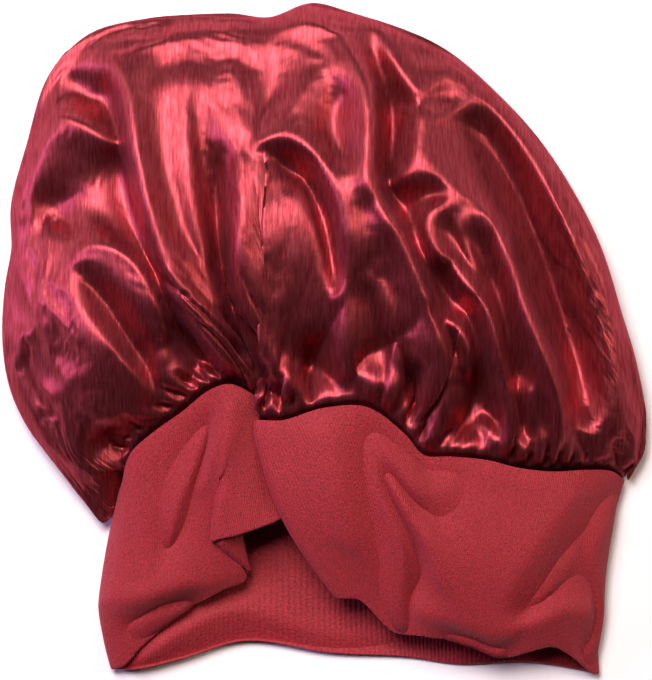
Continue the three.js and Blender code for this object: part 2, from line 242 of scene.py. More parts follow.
def strung_sheet(folds, low, high, spread):
    """Each cell takes (its neighbours' mean + pull * goal) / (1 + pull + leak), where leak draws it to 0."""
    height = np.zeros((1, 1))
    for cell in CELLS:
        rows, columns = np.ceil((high - low) / cell).astype(int)[::-1]
        pull, goal = string_grips(folds, low, cell, (rows, columns))
        leak = (cell / spread) ** 2 / 4
        old_rows, old_columns = height.shape
        height = height[np.arange(rows) * old_rows // rows]
        height = height[:, np.arange(columns) * old_columns // columns]
        for _ in range(PASSES):
            wide = np.pad(height, 1)
            mean = (wide[:-2, 1:-1] + wide[2:, 1:-1] + wide[1:-1, :-2] + wide[1:-1, 2:]) / 4
            height = (mean + pull * goal) / (1 + pull + leak)
    return height


# %% Round the sheet
FOLD_BLEND = 2 * MM  # over which a ridge goes over into its valley


def rounded(height, passes):
    """Each pass takes the mean of a cell, counted twice, and its four neighbours."""
    for _ in range(passes):
        wide = np.pad(height, 1, "edge")
        height = (wide[:-2, 1:-1] + wide[2:, 1:-1] + wide[1:-1, :-2] + wide[1:-1, 2:] + 2 * height) / 6
    return height


def higher(first, second, blend):
    """The higher of two, rounded where they meet: (a + b + sqrt((a - b)^2 + blend^2)) / 2."""
    return (first + second + np.sqrt((first - second) ** 2 + blend**2)) / 2


def soft_folds(height, ridge_passes, valley_passes):
    """The higher of the sheet and its rounded copy keeps the ridges crisp and makes the valleys broad."""
    return rounded(higher(height, rounded(height, valley_passes), FOLD_BLEND), ridge_passes)


def read_sheet(height, low, flat):
    """The sheet's height at points, linear between the four cells around each."""
    at = (flat - low) / CELLS[-1] - 0.5
    first = np.clip(at.astype(int), 0, np.array(height.shape)[::-1] - 2)
    fx, fy = (at - first).T
    column, row = first.T
    lower = height[row, column] * (1 - fx) + height[row, column + 1] * fx
    upper = height[row + 1, column] * (1 - fx) + height[row + 1, column + 1] * fx
    return lower * (1 - fy) + upper * fy


# %% [markdown]
# ## Soft folds of the band
# Slack jersey folds softly where it is pushed. Its strings lie on the flat cloth, counted in the places
# round the band and in shares down it, so a fold moves with the wall.

# %% The band's folds
BAND_FOLDS = [
    # name, half its width in mm, then places: place round, share down, rise in mm
    ("left crease", 0, (6.3, 0.1, 3), (6.4, 0.3, 4), (6.3, 0.52, 4), (6.7, 0.75, 3), (7, 1, 1)),
    ("left valley", 2, (5, 0.18, -3), (4.2, 0.36, -5), (3.6, 0.44, -5), (3.3, 0.6, -4)),
    ("left ridge", 0, (5.9, 0.3, 3), (5.2, 0.38, 3), (4.5, 0.46, 2)),
    ("low ridge", 1, (0.3, 0.6, 3), (1.8, 0.68, 4), (3.3, 0.8, 5), (4.6, 0.92, 4), (5.8, 0.98, 2)),
    ("under the low ridge", 1, (1.2, 0.8, -2), (2.6, 0.87, -4), (4.2, 1.02, -4)),
    ("long valley", 2, (16, 0.1, -2), (15.75, 0.3, -4), (15.75, 0.48, -6), (16.05, 0.6, -8),
     (15.7, 0.78, -5), (15.2, 0.98, -4)),
    ("crescent", 1, (16.2, 0.1, -2), (16.4, 0.24, -5), (16.8, 0.29, -6), (17.5, 0.23, -5),
     (18.4, 0.14, -4), (19.4, 0.07, -2)),
    ("between the valleys", 1, (16.1, 0.32, 1), (16.5, 0.43, 3), (17.1, 0.55, 3)),
    ("right panel's crest", 6, (14.8, 0.1, 3), (14.4, 0.4, 4), (14.2, 0.7, 3)),
    ("right of the valley", 5, (17.2, 0.45, 4), (17.4, 0.7, 4)),
    ("soft diagonal", 3, (22.6, 0.12, 3), (21, 0.4, 3), (19.1, 0.74, 2)),
    ("beside the diagonal", 4, (23.4, 0.3, -2), (21.6, 0.62, -3), (19.6, 0.88, -2)),
    ("hem valley", 1, (16.6, 0.99, -3), (18.3, 0.99, -4), (19.4, 0.96, -3)),
    ("hem roll", 2, (15.8, 0.92, 3), (17.2, 0.87, 3), (19, 0.87, 3), (22, 0.76, 3), (23.6, 0.7, 2)),
    ("right crease", 0, (24.7, 0.02, -2), (24, 0.26, -4), (23.4, 0.4, -4), (23.9, 0.53, -3),
     (24.6, 0.7, -4), (24.4, 0.85, -3), (22.8, 0.96, -3)),
    ("back ridge", 3, (33.2, 1, -5), (32.4, 0.9, -8), (31.4, 0.82, -8), (30.4, 0.9, -5), (29, 0.93, -3)),
    ("back ridge 2", 3, (31.2, 0.5, -3), (29.6, 0.62, -4), (27.6, 0.6, -3)),
]

# %% The band's strung sheet
BAND_LENGTH = 590 * MM
BAND_SPREAD = 24 * MM
BAND_SCALE = 1.25  # the table's rises and falls are scaled by this
BAND_RIDGE_PASSES, BAND_VALLEY_PASSES = 8, 24


def on_band(places):
    """Places round and shares down the band as metres of flat cloth."""
    places = np.asarray(places, float)
    return np.stack([places[..., 0] / len(BAND_PLACES) * BAND_LENGTH, places[..., 1] * BAND_HEIGHT], -1)


band_strings = as_strings(BAND_FOLDS, on_band, BAND_SCALE, BAND_SCALE)
band_low = np.array([-MARGIN, -MARGIN])
band_high = np.array([BAND_LENGTH + MARGIN, BAND_HEIGHT + MARGIN])
band_sheet = strung_sheet(band_strings, band_low, band_high, BAND_SPREAD)
band_sheet = soft_folds(band_sheet, BAND_RIDGE_PASSES, BAND_VALLEY_PASSES)
print("band folds from", np.round([band_sheet.min() / MM, band_sheet.max() / MM], 1), "mm")

# %% Move the wall along its normals
SEAM_PUFF = 1 * MM  # the band's edge swells just below the seam, on the front wall
PUFF_REACH = 0.1
PUFF_START, PUFF_STOP, PUFF_EARLY = 0.04, 0.03, 0.02  # shares round the band over which it comes and goes


def normals(points, ring):
    """Unit normals of a grid: the cross product of its steps across and down."""
    if ring:
        across = np.roll(points, -1, 1) - np.roll(points, 1, 1)
    else:
        across = np.gradient(points, axis=1)
    down = np.gradient(points, axis=0)
    normal = np.cross(down, across)
    return normal / np.maximum(np.linalg.norm(normal, axis=2, keepdims=True), 1e-9)


def dented(points, around, down):
    """Each point plus (sheet height + puff) * normal, where the puff is a bell of the share down."""
    around, down = np.asarray(around), np.asarray(down)
    flat = np.stack(np.broadcast_arrays(around[None] * BAND_LENGTH, down[:, None] * BAND_HEIGHT), -1)
    rise = read_sheet(band_sheet, band_low, flat.reshape(-1, 2)).reshape(flat.shape[:2])
    front = ease(around / PUFF_START) * (1 - ease((around - RIGHT_SIDE + PUFF_EARLY) / PUFF_STOP))
    puff = np.exp(-(((down - PUFF_REACH / 2) / PUFF_REACH) ** 2))
    dented_points = points + (rise + SEAM_PUFF * puff[:, None] * front)[..., None] * normals(points, True)
    dented_points[..., 2] = np.maximum(dented_points[..., 2], BAND_WALL / 2)
    return dented_points


# %% [markdown]
# ## The doubled wall
# The jersey is folded in half at the hem, so the wall is two layers with a round hem. The surface runs
# down the outside, round the hem and up the inside: an offset of half the wall, turned half a circle.

# %% The wall's two layers and their hem
BAND_COLUMNS = 620
OUTER_ROWS, HEM_ROWS, INNER_ROWS = 56, 8, 24
LAYER_SHARE = 0.92  # of the wall, so that the layers stay inside the solid's thickness

band_around = np.arange(BAND_COLUMNS) / BAND_COLUMNS
outer_down = np.linspace(0, 1, OUTER_ROWS)
inner_down = np.linspace(1, 0, INNER_ROWS)
outer_middle = dented(band_surface(band_around, outer_down), band_around, outer_down)
inner_middle = dented(band_surface(band_around, inner_down), band_around, inner_down)
outer_normal = normals(outer_middle, True)
inner_normal = -normals(inner_middle, True)
half = BAND_WALL / 2 * LAYER_SHARE
turn = np.linspace(0, np.pi, HEM_ROWS + 2)[1:-1, None, None]
ahead = outer_middle[-1] - outer_middle[-2]
ahead /= np.linalg.norm(ahead, axis=1, keepdims=True)
hem_turn = outer_middle[-1] + half * (np.cos(turn) * outer_normal[-1] + np.sin(turn) * ahead)
band_points = np.concatenate([
    outer_middle + half * outer_normal,
    hem_turn,
    inner_middle - half * inner_normal,
])
print("band", len(band_points), "rows,", OUTER_ROWS, "of them outside")

# %% The band as one folded sheet
band_run = np.concatenate([outer_down, np.full(HEM_ROWS, 1), 2 - inner_down]) * BAND_HEIGHT
band_flat = np.stack(np.broadcast_arrays(band_around[None] * BAND_LENGTH, band_run[:, None]), -1)
band_index = np.arange(len(band_points) * BAND_COLUMNS).reshape(len(band_points), BAND_COLUMNS)
band_ring = np.hstack([band_index, band_index[:, :1]])
band = add_mesh("jersey_band", band_points, cell_corners(band_ring)[:, ::-1].tolist(), band_flat)

# %% [markdown]
# ## The crown's outline
# The crown's columns run from the seam to the rim, like the gathers of the real cloth, and fan out on
# the way. Over the top sheet they climb the puff. The bottom sheet lies on the floor.

# %% The rim and the neck
RIM_PLACES = [
    (-0.69, -0.08), (-0.71, -0.09), (-0.77, -0.04), (-0.85, 0.04), (-0.93, 0.12), (-0.98, 0.2),
    (-1, 0.3), (-0.99, 0.41), (-0.97, 0.49), (-0.97, 0.58), (-0.92, 0.71), (-0.85, 0.86),
    (-0.73, 0.94), (-0.55, 0.97), (-0.29, 0.98), (-0.17, 0.97), (-0.04, 1), (0.08, 0.98),
    (0.35, 0.91), (0.54, 0.8), (0.68, 0.69), (0.83, 0.51), (0.91, 0.34), (0.98, 0.18),
    (1, 0.07), (0.95, 0),
]
COLLAR = 3 * MM
SEAM_GAP = 0.5 * MM
SPRING = 40 * MM


def on_crown(places):
    """Shares of half the crown's width and of its length as metres."""
    places = np.asarray(places, float)
    east = CROWN_MIDDLE + places[..., 0] * CROWN_WIDTH / 2
    return np.stack([east, SEAM_LINE + places[..., 1] * CROWN_LENGTH], -1)


# %% [markdown]
# ## Folds of the satin
# The crown's strings are told in shares of half its width and of its length. Long ridges run from the top
# of the puff down to the seam, with deep valleys beside them, and the left lobe's edge lies over the
# right one as a high ridge beside a narrow valley.

# %% The crown's folds
FOLDS = [
    # name, half its width in mm, then places: across, along, rise in mm
    ("left long ridge", 4, (-0.65, 0.91, 4), (-0.6, 0.8, 9), (-0.56, 0.66, 12), (-0.5, 0.5, 14),
     (-0.42, 0.37, 14), (-0.34, 0.29, 13), (-0.22, 0.2, 10), (-0.19, 0.15, 5)),
    ("right of the long ridge", 4, (-0.51, 0.8, 0), (-0.48, 0.65, -1), (-0.43, 0.5, -1), (-0.36, 0.38, 1)),
    ("its valley", 0, (-0.67, 0.84, -6), (-0.65, 0.79, -12), (-0.61, 0.65, -13), (-0.55, 0.49, -12),
     (-0.48, 0.36, -14), (-0.4, 0.27, -14), (-0.31, 0.19, -9)),
    ("left facet", 0, (-0.82, 0.77, 6), (-0.87, 0.66, 6), (-0.92, 0.54, 4)),
    ("left facet's right edge", 0, (-0.82, 0.77, 6), (-0.7, 0.73, 4), (-0.62, 0.69, 0)),
    ("dark pocket", 5, (-0.78, 0.84, -8), (-0.71, 0.79, -9)),
    ("left panel", 6, (-0.85, 0.6, -5), (-0.8, 0.54, -6), (-0.72, 0.52, -3)),
    ("outer crease", 0, (-0.97, 0.5, 4), (-0.86, 0.38, 7), (-0.75, 0.27, 7), (-0.73, 0.21, 5)),
    ("outside the crease", 0, (-0.96, 0.42, -2), (-0.88, 0.3, -3), (-0.83, 0.2, -4)),
    ("thin crease", 0, (-0.93, 0.5, 4), (-0.76, 0.38, 6), (-0.59, 0.24, 7), (-0.53, 0.18, 5)),
    ("diagonal valley", 0, (-0.72, 0.42, -4), (-0.66, 0.35, -8), (-0.6, 0.28, -11), (-0.51, 0.18, -9)),
    ("teardrop", 2, (-0.79, 0.45, 2), (-0.75, 0.48, 4), (-0.62, 0.47, 6), (-0.54, 0.41, 7),
     (-0.49, 0.29, 6)),
    ("inside the teardrop", 0, (-0.66, 0.44, 2), (-0.59, 0.37, 2), (-0.54, 0.29, 0)),
    ("left tube", 0, (-0.5, 0.27, 5), (-0.51, 0.2, 5), (-0.48, 0.16, 3)),
    ("left tube 2", 0, (-0.45, 0.24, 3), (-0.45, 0.18, 3)),
    ("left patch", 5, (-0.72, 0.22, 6), (-0.6, 0.18, 6)),
    ("left polygon", 0, (-0.96, 0.25, 3), (-0.87, 0.33, 3), (-0.82, 0.27, 1)),
    ("lower left puff", 3, (-0.79, 0.14, 4), (-0.69, 0.15, 6), (-0.57, 0.13, 5)),
    ("lower left roll", 4, (-0.83, 0.1, 5), (-0.76, 0.03, 6), (-0.66, -0.03, 4)),
    ("lower left slit", 0, (-0.7, 0.11, -6), (-0.61, 0.05, -6)),
    ("top fold", 1, (-0.66, 0.9, 2), (-0.55, 0.94, 4), (-0.39, 0.945, 4), (-0.2, 0.925, 4), (0, 0.88, 3)),
    ("under the top fold", 2, (-0.52, 0.86, -2), (-0.36, 0.87, -2), (-0.2, 0.85, -2)),
    ("tuck", 0, (-0.42, 0.88, 1), (-0.415, 0.78, 2), (-0.4, 0.65, 3), (-0.37, 0.48, 3), (-0.32, 0.36, 2),
     (-0.27, 0.26, 0)),
    ("tuck's shade", 0, (-0.4, 0.8, -1), (-0.375, 0.65, -6), (-0.345, 0.5, -10), (-0.3, 0.37, -10),
     (-0.24, 0.27, -8)),
    ("middle valley", 2, (-0.31, 0.68, -4), (-0.33, 0.55, -14), (-0.325, 0.45, -19), (-0.29, 0.35, -22),
     (-0.22, 0.23, -20), (-0.13, 0.13, -10)),
    ("middle ridge", 4, (-0.23, 0.68, 6), (-0.26, 0.57, 8), (-0.265, 0.44, 9), (-0.22, 0.31, 9),
     (-0.15, 0.22, 8), (-0.09, 0.16, 6)),
    ("middle panel", 4, (-0.1, 0.56, 3), (-0.09, 0.45, 2), (-0.07, 0.32, 0)),
    ("arch", 2.5, (-0.21, 0.7, 9), (-0.12, 0.705, 11), (-0.02, 0.66, 13), (0.05, 0.55, 13),
     (0.07, 0.43, 10), (0.06, 0.38, 9), (0.075, 0.23, 9), (0.14, 0.17, 8), (0.21, 0.13, 6)),
    ("under the arch", 2, (-0.14, 0.67, -3), (-0.05, 0.62, -9), (0.005, 0.53, -12), (0.03, 0.4, -8)),
    ("facet edge", 0, (-0.08, 0.62, 1), (-0.06, 0.58, 2), (-0.03, 0.53, 2), (0.005, 0.38, 1),
     (0.015, 0.31, 0)),
    ("top curl", 0, (0, 0.88, 4), (-0.03, 0.83, 6), (-0.1, 0.77, 7), (-0.14, 0.725, 9)),
    ("beside the curl", 0, (-0.1, 0.85, -1), (-0.17, 0.78, -2), (-0.2, 0.74, 1)),
    ("pink patch", 6, (-0.3, 0.86, 3), (-0.26, 0.78, 3), (-0.24, 0.72, 5)),
    ("right of the curl", 0, (0.06, 0.8, -1), (0.02, 0.73, -2), (0.06, 0.65, 0)),
    ("hollow", 4, (-0.045, 0.27, -13), (-0.045, 0.17, -15)),
    ("hollow's ridge", 0, (-0.11, 0.23, 5), (-0.06, 0.14, 5)),
    ("crossing crease", 0, (0.15, 0.61, 7), (0.11, 0.49, 7), (0.065, 0.38, 8)),
    ("lobe facet", 0, (0.11, 0.44, 2), (0.18, 0.37, 6), (0.21, 0.27, 6), (0.22, 0.17, 6), (0.23, 0.13, 4)),
    ("lobe facet valley", 0, (0.13, 0.4, -3), (0.155, 0.31, -4), (0.16, 0.22, -3)),
    ("lobe facet 2", 0, (0.18, 0.5, 4), (0.23, 0.4, 7), (0.27, 0.29, 7), (0.285, 0.24, 6)),
    ("between the facets", 0, (0.19, 0.43, 0), (0.235, 0.32, 0), (0.25, 0.25, -4)),
    ("pocket", 3, (0.265, 0.23, -13), (0.265, 0.15, -14)),
    ("pocket's right", 0, (0.32, 0.25, 6), (0.315, 0.18, 7), (0.275, 0.12, 5)),
    ("lobe edge", 3, (-0.11, 0.955, 5), (0.06, 0.915, 11), (0.13, 0.83, 16), (0.143, 0.715, 19),
     (0.145, 0.61, 19), (0.21, 0.515, 18), (0.295, 0.38, 14), (0.365, 0.24, 10), (0.375, 0.13, 5)),
    ("under the lobe edge", 3, (0.09, 0.925, -2), (0.17, 0.835, -12), (0.19, 0.715, -17),
     (0.187, 0.6, -15), (0.25, 0.52, -12), (0.33, 0.385, -11), (0.4, 0.25, -10), (0.41, 0.15, -7)),
    ("star", 0, (0.29, 0.77, 5), (0.28, 0.71, 6), (0.255, 0.65, 5), (0.205, 0.605, 2)),
    ("star's foot", 0, (0.23, 0.61, 2), (0.29, 0.62, 4), (0.38, 0.6, 5)),
    ("below the star", 0, (0.24, 0.58, -6), (0.3, 0.585, -5), (0.36, 0.58, -3)),
    ("right long ridge", 1.5, (0.305, 0.73, 4), (0.33, 0.64, 6), (0.38, 0.6, 7), (0.49, 0.54, 9),
     (0.54, 0.48, 11), (0.58, 0.4, 12), (0.615, 0.33, 13), (0.67, 0.24, 12), (0.71, 0.16, 11),
     (0.7, 0.05, 6)),
    ("loop", 1.5, (0.47, 0.56, 6), (0.4, 0.57, 7), (0.33, 0.555, 8), (0.305, 0.52, 8), (0.325, 0.47, 9),
     (0.39, 0.42, 9), (0.475, 0.36, 11), (0.51, 0.29, 12), (0.535, 0.22, 12), (0.56, 0.13, 11),
     (0.59, 0.04, 6)),
    ("inside the loop", 0, (0.36, 0.52, -3), (0.4, 0.47, -3), (0.46, 0.41, -3)),
    ("inner ridge", 0, (0.41, 0.56, 6), (0.425, 0.48, 4), (0.46, 0.42, 3)),
    ("loop's right valley", 2, (0.46, 0.5, -3), (0.51, 0.42, -7), (0.555, 0.3, -11), (0.59, 0.19, -13),
     (0.62, 0.08, -10)),
    ("loop's left valley", 2, (0.35, 0.44, -5), (0.42, 0.36, -9), (0.47, 0.28, -12), (0.495, 0.18, -14),
     (0.52, 0.09, -11)),
    ("second ridge", 0, (0.285, 0.46, 5), (0.305, 0.4, 7), (0.36, 0.34, 8), (0.42, 0.28, 8),
     (0.44, 0.21, 4)),
    ("low puff", 3, (0.44, 0.15, -9), (0.46, 0.1, -9)),
    ("low puff 2", 0, (0.49, 0.12, 3), (0.54, 0.06, 5)),
    ("leaf", 0, (0.605, 0.2, 5), (0.625, 0.12, 6), (0.665, 0.03, 4)),
    ("leaf's right", 0, (0.65, 0.19, -2), (0.68, 0.1, -3)),
    ("broad valley", 6, (0.45, 0.75, -7), (0.56, 0.64, -13), (0.64, 0.52, -17), (0.7, 0.4, -20),
     (0.76, 0.26, -20), (0.8, 0.13, -14)),
    ("right rim ridge", 5, (0.47, 0.84, 4), (0.57, 0.75, 6), (0.665, 0.655, 7), (0.73, 0.565, 9),
     (0.785, 0.46, 9), (0.84, 0.355, 8), (0.89, 0.23, 7), (0.91, 0.06, 4)),
    ("polygon", 0, (0.295, 0.79, 4), (0.36, 0.835, 4), (0.41, 0.86, 4), (0.42, 0.89, 2)),
    ("polygon's right", 0, (0.41, 0.86, 4), (0.43, 0.81, 4), (0.435, 0.775, 4)),
    ("polygon's foot", 0, (0.435, 0.775, 4), (0.36, 0.757, 4), (0.31, 0.745, 4)),
    ("in the polygon", 0, (0.34, 0.79, -3), (0.39, 0.8, -3)),
    ("upper crease", 0, (0.075, 0.975, 3), (0.09, 0.935, 4), (0.14, 0.86, 2)),
    ("upper crease 2", 0, (0.21, 0.955, 3), (0.185, 0.9, 4), (0.23, 0.84, 4), (0.285, 0.79, 4)),
    ("upper hollow", 0, (0.14, 0.93, -3), (0.2, 0.84, -5)),
    ("upper hollow 2", 0, (0.27, 0.9, -3), (0.33, 0.87, -2)),
]

# %% The crown's strung sheet
SPREAD = 60 * MM  # how far from its folds the sheet comes back to the plain dome
RIDGE_SCALE, VALLEY_SCALE = 1.1, 1.8  # the table's rises and falls are scaled by these
RIDGE_PASSES, VALLEY_PASSES = 10, 40

crown_strings = as_strings(FOLDS, on_crown, RIDGE_SCALE, VALLEY_SCALE)
sheet_low, sheet_high = crown_low[:2] - MARGIN, crown_high[:2] + MARGIN
crown_sheet = strung_sheet(crown_strings, sheet_low, sheet_high, SPREAD)
crown_sheet = soft_folds(crown_sheet, RIDGE_PASSES, VALLEY_PASSES)
print("crown folds from", np.round([crown_sheet.min() / MM, crown_sheet.max() / MM], 1), "mm")

# %% [markdown]
# ## Gathers at the seam
# About 1.4 m of satin edge is pulled in to 0.59 m of band, so the cloth stands in small puffs at the
# seam. They are narrow there, widen as the columns fan out, and die away into the folds.

# %% The gathers
GATHERS = [
    # puffs from side to side, height in mm, share of the way out at which they are highest
    (46, 9.0, 0.03),
    (23, 9.0, 0.075),
]


def gather_height(across, out):
    """Round puffs with sharp valleys: sqrt(|sin|) of the column, times s * exp(1 - s) with s = out / peak.

    Slow sines with odd lengths let the puffs wander and differ in height, so that none repeats.
    """
    height = 0
    for puffs, rise, peak in GATHERS:
        wander = 0.5 * np.sin(2 * np.pi * (across * puffs / 5.3 + peak * 7)) + 0.9 * np.sin(
            2 * np.pi * (across * puffs / 11.1 + 1.5 * out + peak * 13)
        )
        wave = np.sqrt(np.abs(np.sin(np.pi * across * puffs + 1.5 * wander)) + 0.01) - 0.7
        s = out / peak
        uneven = 0.6 + 0.4 * np.sin(2 * np.pi * (across * puffs / 7.7 + peak * 3))
        height = height + rise * MM * uneven * wave * s * np.exp(1 - s)
    return height


# %% [markdown]
# ## Crumple
# Between its folds the satin still carries small flat facets from being packed. A sum of waves in
# random directions, each bent to a sharp crest, gives such facets. The seed keeps them the same.

# %% The crumple
CRUMPLE = 0.07
CRUMPLE_WAVES = 16
random = np.random.default_rng(4)
wave_turn = random.uniform(0, np.pi, CRUMPLE_WAVES)
wave_long = random.uniform(22, 70, CRUMPLE_WAVES) * MM
wave_start = random.uniform(0, 2 * np.pi, CRUMPLE_WAVES)


def crumple_height(flat):
    """Mean of wave lengths times |sin|, each wave bent by the one before it."""
    height = 0
    bend = 0
    for angle, length, start in zip(wave_turn, wave_long, wave_start):
        phase = (flat @ [np.cos(angle), np.sin(angle)]) * np.pi / length + start + 0.7 * bend
        bend = np.sin(phase)
        height = height - length * np.sqrt(bend**2 + 0.01)
    return height / CRUMPLE_WAVES


# %% [markdown]
# ## The crown as one sheet
# The top and bottom sheets share the rim and both side columns. The bottom is smooth, so it has only
# every fourth row, and its cells beside the shared columns take in the top's extra corners.

# %% The crown's columns
CROWN_COLUMNS = 300
BOTTOM_ROWS, ROWS_PER_BOTTOM_ROW = 30, 4
TOP_ROWS = BOTTOM_ROWS * ROWS_PER_BOTTOM_ROW + 1
RIM_CROWDING = 0.4  # how much closer the rows lie at the rim
DOME_SPREAD, DOME_EDGE = 2.4, 0.7
SIDE_POWER, SIDE_EDGE = 5, 0.8  # how late and how steeply the puff goes down to its two sides

across = np.linspace(0, 1, CROWN_COLUMNS + 1)
rim = even_line(on_crown(RIM_PLACES), across)
row_share = np.concatenate([[0], np.linspace(0, 1, TOP_ROWS - 1)])
out_share = row_share * (1 - RIM_CROWDING) + RIM_CROWDING * np.sin(np.pi / 2 * row_share)
lift = (1 - np.abs(2 * across - 1) ** SIDE_POWER) ** SIDE_EDGE
print("crown", TOP_ROWS, "rows above,", BOTTOM_ROWS + 1, "below,", CROWN_COLUMNS + 1, "columns")

# %% Where the crown leaves the band
RING_STEP, RING_DROP = 0.002, 0.03  # shares round and down the band between which its edge is measured


def crown_ring(around):
    """The seam's start and collar points round the band, and the way up out of the band at each."""
    edge, below = band_surface(around, [0, RING_DROP])
    ahead, back = (band_surface(around + step, [0])[0] for step in (RING_STEP, -RING_STEP))
    along = (ahead - back) / np.linalg.norm(ahead - back, axis=1, keepdims=True)
    up = edge - below
    up -= (up * along).sum(1, keepdims=True) * along
    up /= np.linalg.norm(up, axis=1, keepdims=True)
    start = edge + SEAM_GAP * up
    return start, start + COLLAR * up, up


def crown_plan(collar, up, out):
    """Each column runs straight from its collar to its rim point, after a spring square to the seam."""
    o = out[:, None, None]
    return collar[None, :, :2] * (1 - o) + rim[None] * o + up[None, :, :2] * SPRING * o * (1 - o) ** 2


# %% How high each row stands
ROLL_START = 0.75  # share of the way out at which the bottom sheet starts to rise to the rim
LANDING = 0.16  # and at which it has come down to the floor


def bottom_height(collar, out):
    """From the collar down to the floor, then up a quarter ellipse to the rim."""
    o = out[:, None]
    roll = np.clip((o - ROLL_START) / (1 - ROLL_START), 0, 1)
    floor = CROWN_WALL / 2 + (RIM_HEIGHT - CROWN_WALL / 2) * (1 - np.sqrt(1 - roll**2))
    return collar[:, 2] + (floor - collar[:, 2]) * ease(o / LANDING)


# %% The top sheet
PUFF_SHARE, FOLD_SHARE = 0.45, 0.05  # shares of the way out at which puff and folds are at full height
LEAST_ROOM, ROOM_SHARE = 2 * MM, 0.1  # between the top sheet and the bottom one, and where it is reached
VALLEY_FLOOR = 6 * MM  # over which a valley that reaches the bottom sheet turns level
ROLL, ROLL_SHARE = 0.4 * MM, 0.08  # the sheet swells by this along its normals, which rounds its ridges

start, collar, up = crown_ring(across * RIGHT_SIDE)
plan = crown_plan(collar, up, out_share)
o = out_share[:, None]
ground = collar[:, 2] * (1 - o) + RIM_HEIGHT * o
dome = RIM_HEIGHT + CROWN_LOFT * lift * (1 - o**DOME_SPREAD) ** DOME_EDGE
climb = np.clip(o / PUFF_SHARE, 0, 1)
puffed = np.maximum(ground, ground + (dome - ground) * climb * (2 - climb) * lift)
places = plan.reshape(-1, 2)
relief = read_sheet(crown_sheet, sheet_low, places) + CRUMPLE * crumple_height(places)
relief = relief.reshape(plan.shape[:2])
top_z = puffed + lift * ease(o / FOLD_SHARE) * np.sqrt(1 - o**12) * relief
least = bottom_height(collar, out_share) + LEAST_ROOM * lift * ease(o / ROOM_SHARE) * (1 - o**8)
blend = VALLEY_FLOOR * lift * (1 - o**8)
top_z = higher(top_z, least, blend)
top = np.concatenate([plan, top_z[..., None]], -1)
swell = ROLL * ease(o / ROLL_SHARE) * (1 - o**6) + gather_height(across, o) * (1 - o**4)
top -= (swell * lift)[..., None] * normals(top, False)
top[0] = start
print("top sheet up to", round(float(top[..., 2].max()) / MM, 1), "mm")

# %% The bottom sheet
bottom_share = out_share[::ROWS_PER_BOTTOM_ROW]
start, collar, up = crown_ring(1 - across * (1 - RIGHT_SIDE))
bottom_z = bottom_height(collar, bottom_share)
bottom = np.concatenate([crown_plan(collar, up, bottom_share), bottom_z[..., None]], -1)
bottom[0] = start

# %% Both sheets as one mesh
top_index = np.arange(top[..., 0].size).reshape(top.shape[:2])
bottom_index = top_index[::ROWS_PER_BOTTOM_ROW].copy()
own = bottom_index[:-1, 1:-1]  # the bottom's own points, numbered after the top's
own[:] = top_index.size + np.arange(own.size).reshape(own.shape)
inner = bottom_index[:, 1:-1]
faces = cell_corners(top_index).tolist() + cell_corners(inner)[:, [0, 3, 2, 1]].tolist()
for row in range(BOTTOM_ROWS):
    side = slice(row * ROWS_PER_BOTTOM_ROW, (row + 1) * ROWS_PER_BOTTOM_ROW + 1)
    faces.append([*top_index[side, 0].tolist(), int(inner[row + 1, 0]), int(inner[row, 0])])
    faces.append([int(inner[row, -1]), int(inner[row + 1, -1]), *top_index[side, -1][::-1].tolist()])
points = np.concatenate([top.reshape(-1, 3), bottom[:-1, 1:-1].reshape(-1, 3)])
crown = add_mesh("satin_crown", points, faces, points[:, :2].copy())
neck = [*top_index[:2].ravel().tolist(), *bottom_index[0, 1:-1].tolist()]

# %% [markdown]
# ## Let the satin settle
# A worked-out surface has no loose cloth, but real satin is cut larger than the space it fills, and the
# spare buckles into small folds. Cloth simulation makes those: the sheet grows by a few hundredths with
# its neck held, and each point may move only a few millimetres, so the large folds stay where they are.

# %% Settle the crown
SETTLE_FRAMES = 12
SPARE_CLOTH = 0.022
SETTLE_CAP = 2.5 * MM
FLOOR_ROOM = 0.7 * MM  # how low a settled point may lie, with the wall's thickness below it


def settle(thing, held):
    """Runs cloth from frame 1 with the held points pinned, then moves each point by at most the cap."""
    mesh = thing.data
    before = np.empty(len(mesh.vertices) * 3)
    mesh.vertices.foreach_get("co", before)
    pins = thing.vertex_groups.new(name="held")
    pins.add(held, 1, "REPLACE")
    cloth = thing.modifiers.new("settle", "CLOTH")
    rules = cloth.settings
    rules.quality = 5
    rules.mass = 0.1
    rules.tension_stiffness = 25
    rules.compression_stiffness = 25
    rules.shear_stiffness = 5
    rules.bending_stiffness = 0.3
    rules.vertex_group_mass = pins.name
    rules.shrink_min = -SPARE_CLOTH
    rules.effector_weights.gravity = 0
    cloth.collision_settings.use_collision = False
    cloth.point_cache.frame_start = 1
    cloth.point_cache.frame_end = SETTLE_FRAMES
    for frame_number in range(1, SETTLE_FRAMES + 1):
        bpy.context.scene.frame_set(frame_number)
    settled = thing.evaluated_get(bpy.context.evaluated_depsgraph_get()).to_mesh()
    after = np.empty_like(before)
    settled.vertices.foreach_get("co", after)
    thing.modifiers.remove(cloth)
    thing.vertex_groups.clear()
    bpy.context.scene.frame_set(1)
    move = (after - before).reshape(-1, 3)
    far = np.linalg.norm(move, axis=1, keepdims=True)
    move *= np.minimum(1, SETTLE_CAP / np.maximum(far, 1e-9))
    points = before.reshape(-1, 3) + move
    points[:, 2] = np.maximum(points[:, 2], FLOOR_ROOM)
    mesh.vertices.foreach_set("co", points.ravel())
    mesh.update()
    print(thing.name, "settled by", round(float(far.mean()) / MM, 2), "mm on average")


settle(crown, neck)

# %% [markdown]
# ## The satin's thickness
# Solidify gives the sheet its thickness inwards, so the outline stays where it is.

